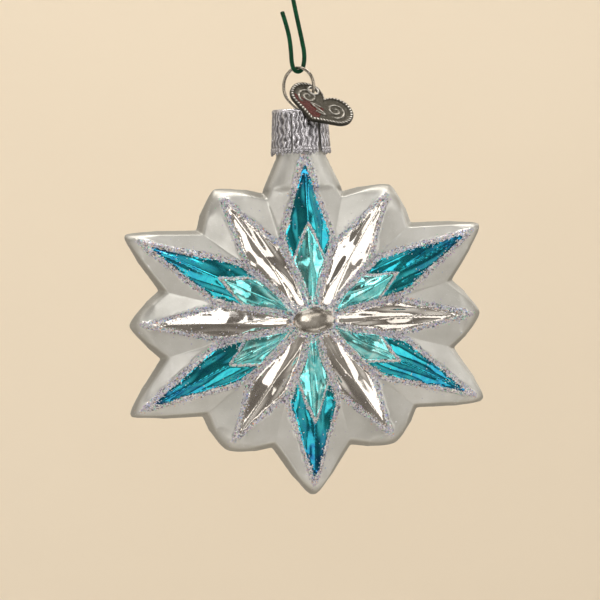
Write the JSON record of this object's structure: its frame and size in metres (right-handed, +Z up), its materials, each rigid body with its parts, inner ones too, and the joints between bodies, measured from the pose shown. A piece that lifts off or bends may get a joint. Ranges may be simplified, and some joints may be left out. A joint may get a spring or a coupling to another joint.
{
  "type": "hanging glass snowflake star ornament",
  "caption": "Hollow blown-glass snowflake star with raised petal facets, hung by a metal cap, a spring-wire loop with a heart tag, and an S-shaped wire hook.",
  "frame": {"origin": "underside of the hook's top bend, where the hook rests on a branch", "axes": "+Z up along the hanging line, -Y out of the star's front, +X to the right seen from the front"},
  "size_m": [0.0886, 0.0296, 0.1678],
  "materials": {
    "green_wire": "gloss",
    "spring_wire": "polished",
    "cap_metal": "embossed bright",
    "star_glass": "silvered inside, satin and gloss lacquers outside",
    "tag_metal": "antiqued"
  },
  "bodies": {
    "hook": {"wire_hook": "green_wire"},
    "hanger": {"spring_hanger": "spring_wire"},
    "cap": {"ornament_cap": "cap_metal"},
    "star": {"glass_star": "star_glass"},
    "tag": {"heart_tag": "tag_metal"}
  },
  "joints": [
    {"name": "hanger_swing", "type": "hinge", "parent": "hook", "child": "hanger", "pos_m": [0, 0, -0.05955], "axis": [0.7193, -0.6947, 0], "range_deg": [-60, 60]},
    {"name": "cap_swivel", "type": "hinge", "parent": "hanger", "child": "cap", "pos_m": [0, 0, -0.06995], "axis": [0, 0, 1], "continuous": true},
    {"name": "cap_pull_off", "type": "slide", "parent": "cap", "child": "star", "axis": [0, 0, -1], "range_m": [0, 0.02]},
    {"name": "tag_flap", "type": "hinge", "parent": "hanger", "child": "tag", "pos_m": [0.00322, -0.00311, -0.0657], "axis": [-0.9397, -0.342, 0], "range_deg": [0, 50]}
  ]
}
